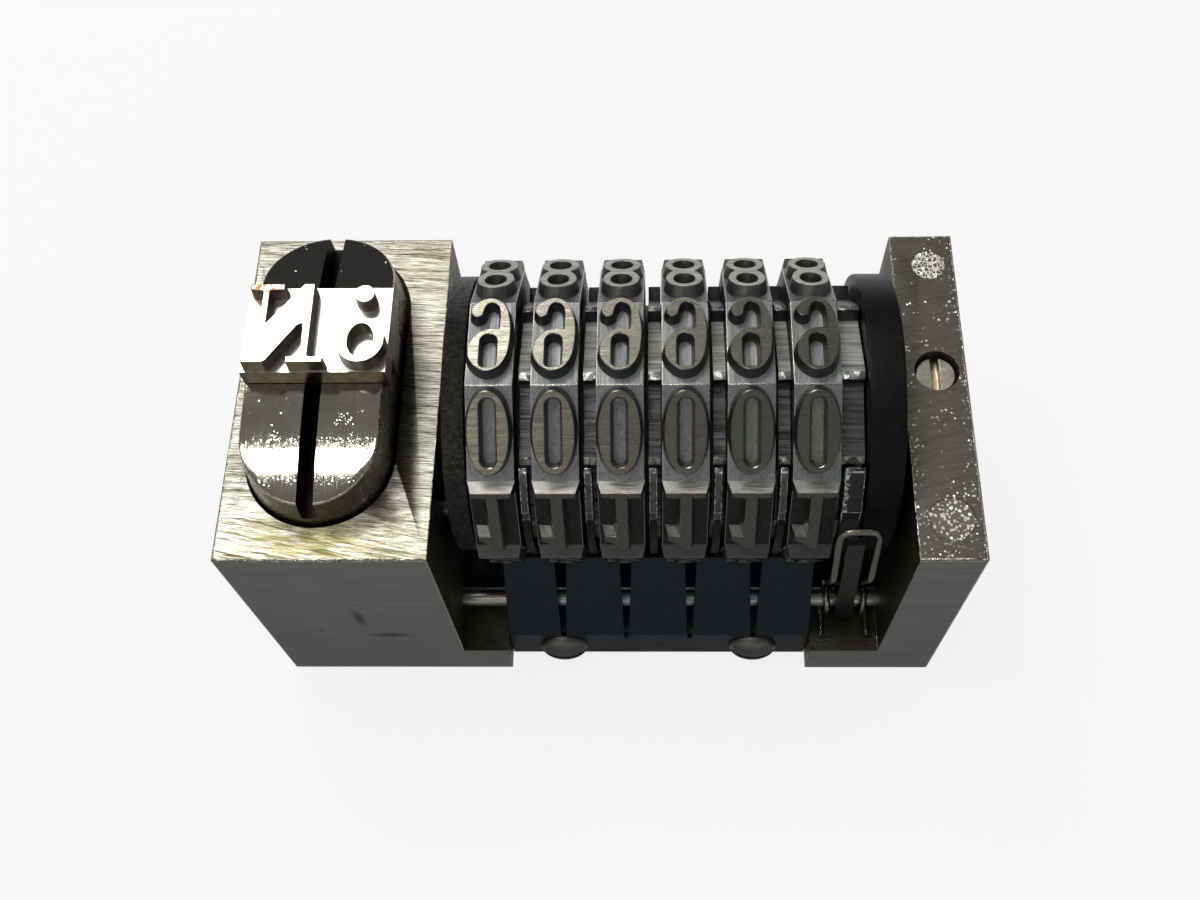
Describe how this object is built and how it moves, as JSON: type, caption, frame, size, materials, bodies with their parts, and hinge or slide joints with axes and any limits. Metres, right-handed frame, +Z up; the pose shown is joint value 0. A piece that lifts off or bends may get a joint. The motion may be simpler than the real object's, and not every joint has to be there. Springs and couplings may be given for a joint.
{
  "type": "typographic numbering machine",
  "caption": "Type-high numbering head with six ratchet wheels, a sprung plunger with a sliding numero type and a pawl swing that advances the count.",
  "frame": {"origin": "middle of the base, at the surface it stands on", "axes": "+X along the width, from the plunger to the right wall; +Y from the front (comb spring) to the back; +Z up, towards the printing faces"},
  "size_m": [0.0406, 0.0204, 0.0236],
  "materials": {
    "body": "nickel plated, worn",
    "plug": "stippled",
    "shaft": "ground",
    "lock_screw": "worn",
    "wheel": "milled",
    "plunger": "polished",
    "type": "bright face",
    "spring": "bright wire",
    "cheek": "blued",
    "comb": "blued",
    "pawl": "worn",
    "comb_screw": "polished"
  },
  "bodies": {
    "frame_body": {"frame": "body", "wall_plug_front": "plug", "wall_plug_back": "plug", "main_shaft": "shaft", "shaft_lock_screw": "lock_screw", "shaft_collars": "shaft", "plunger_stop_screw": "shaft", "retainer_rod": "shaft", "comb_spring": "comb", "comb_screws": "comb_screw", "units_pawl_spring": "spring", "plunger_springs": "spring"},
    "plunger_body": {"plunger": "plunger"},
    "type_slide_body": {"type_slide": "type"},
    "swing": {"swing_cheek_left": "cheek", "swing_cheek_right": "cheek", "drive_pin": "shaft", "drive_roller": "shaft", "pawl_rod": "shaft", "driving_pawl_spring": "spring"},
    "driving_pawl_body": {"driving_pawl": "pawl"},
    "wheel_hundred_thousands_body": {"wheel_hundred_thousands": "wheel"},
    "wheel_ten_thousands_body": {"wheel_ten_thousands": "wheel"},
    "wheel_thousands_body": {"wheel_thousands": "wheel"},
    "wheel_hundreds_body": {"wheel_hundreds": "wheel"},
    "wheel_tens_body": {"wheel_tens": "wheel"},
    "wheel_units_body": {"wheel_units": "wheel"},
    "pawl_hundred_thousands_body": {"pawl_hundred_thousands": "pawl"},
    "pawl_ten_thousands_body": {"pawl_ten_thousands": "pawl"},
    "pawl_thousands_body": {"pawl_thousands": "pawl"},
    "pawl_hundreds_body": {"pawl_hundreds": "pawl"},
    "pawl_tens_body": {"pawl_tens": "pawl"},
    "pawl_units_body": {"pawl_units": "pawl"}
  },
  "joints": [
    {"name": "plunger_slide", "type": "slide", "parent": "frame_body", "child": "plunger_body", "axis": [0, 0, -1], "range_m": [-0.003, 0.0006], "deforming": ["plunger_springs"]},
    {"name": "type_slide_shift", "type": "slide", "parent": "plunger_body", "child": "type_slide_body", "axis": [-1, 0, 0], "range_m": [0, 0.0085]},
    {"name": "swing_rock", "type": "hinge", "parent": "frame_body", "child": "swing", "pos_m": [0, 0.00025, 0.01506], "axis": [1, 0, 0], "range_deg": [-32.2, 6.5]},
    {"name": "driving_pawl_lift", "type": "hinge", "parent": "swing", "child": "driving_pawl_body", "pos_m": [0.0045, 0.00913, 0.01103], "axis": [1, 0, 0], "range_deg": [0, 8], "stiffness_Nm_per_rad": 0.0002, "deforming": ["driving_pawl_spring"]},
    {"name": "wheel_hundred_thousands_turn", "type": "hinge", "parent": "frame_body", "child": "wheel_hundred_thousands_body", "pos_m": [-0.00557, 0.00025, 0.01506], "axis": [-1, 0, 0], "continuous": true},
    {"name": "wheel_ten_thousands_turn", "type": "hinge", "parent": "frame_body", "child": "wheel_ten_thousands_body", "pos_m": [-0.00217, 0.00025, 0.01506], "axis": [-1, 0, 0], "continuous": true},
    {"name": "wheel_thousands_turn", "type": "hinge", "parent": "frame_body", "child": "wheel_thousands_body", "pos_m": [0.00123, 0.00025, 0.01506], "axis": [-1, 0, 0], "continuous": true},
    {"name": "wheel_hundreds_turn", "type": "hinge", "parent": "frame_body", "child": "wheel_hundreds_body", "pos_m": [0.00463, 0.00025, 0.01506], "axis": [-1, 0, 0], "continuous": true},
    {"name": "wheel_tens_turn", "type": "hinge", "parent": "frame_body", "child": "wheel_tens_body", "pos_m": [0.00803, 0.00025, 0.01506], "axis": [-1, 0, 0], "continuous": true},
    {"name": "wheel_units_turn", "type": "hinge", "parent": "frame_body", "child": "wheel_units_body", "pos_m": [0.01143, 0.00025, 0.01506], "axis": [-1, 0, 0], "continuous": true},
    {"name": "pawl_hundred_thousands_tilt", "type": "hinge", "parent": "frame_body", "child": "pawl_hundred_thousands_body", "pos_m": [-0.00409, -0.0071, 0.00462], "axis": [-1, 0, 0], "range_deg": [-5, 1.6], "stiffness_Nm_per_rad": 0.0002, "deforming": ["comb_spring"]},
    {"name": "pawl_ten_thousands_tilt", "type": "hinge", "parent": "frame_body", "child": "pawl_ten_thousands_body", "pos_m": [-0.00069, -0.0071, 0.00462], "axis": [-1, 0, 0], "range_deg": [-5, 1.6], "stiffness_Nm_per_rad": 0.0002, "deforming": ["comb_spring"]},
    {"name": "pawl_thousands_tilt", "type": "hinge", "parent": "frame_body", "child": "pawl_thousands_body", "pos_m": [0.00271, -0.0071, 0.00462], "axis": [-1, 0, 0], "range_deg": [-5, 1.6], "stiffness_Nm_per_rad": 0.0002, "deforming": ["comb_spring"]},
    {"name": "pawl_hundreds_tilt", "type": "hinge", "parent": "frame_body", "child": "pawl_hundreds_body", "pos_m": [0.00611, -0.0071, 0.00462], "axis": [-1, 0, 0], "range_deg": [-5, 1.6], "stiffness_Nm_per_rad": 0.0002, "deforming": ["comb_spring"]},
    {"name": "pawl_tens_tilt", "type": "hinge", "parent": "frame_body", "child": "pawl_tens_body", "pos_m": [0.00951, -0.0071, 0.00462], "axis": [-1, 0, 0], "range_deg": [-5, 1.6], "stiffness_Nm_per_rad": 0.0002, "deforming": ["comb_spring"]},
    {"name": "pawl_units_tilt", "type": "hinge", "parent": "frame_body", "child": "pawl_units_body", "pos_m": [0.01291, -0.0071, 0.00462], "axis": [-1, 0, 0], "range_deg": [-5, 1.6], "stiffness_Nm_per_rad": 0.0005, "deforming": ["units_pawl_spring"]}
  ],
  "couplings": [
    {"joint": "swing_rock", "follows": "plunger_slide", "rad_per_m": 186.65}
  ]
}
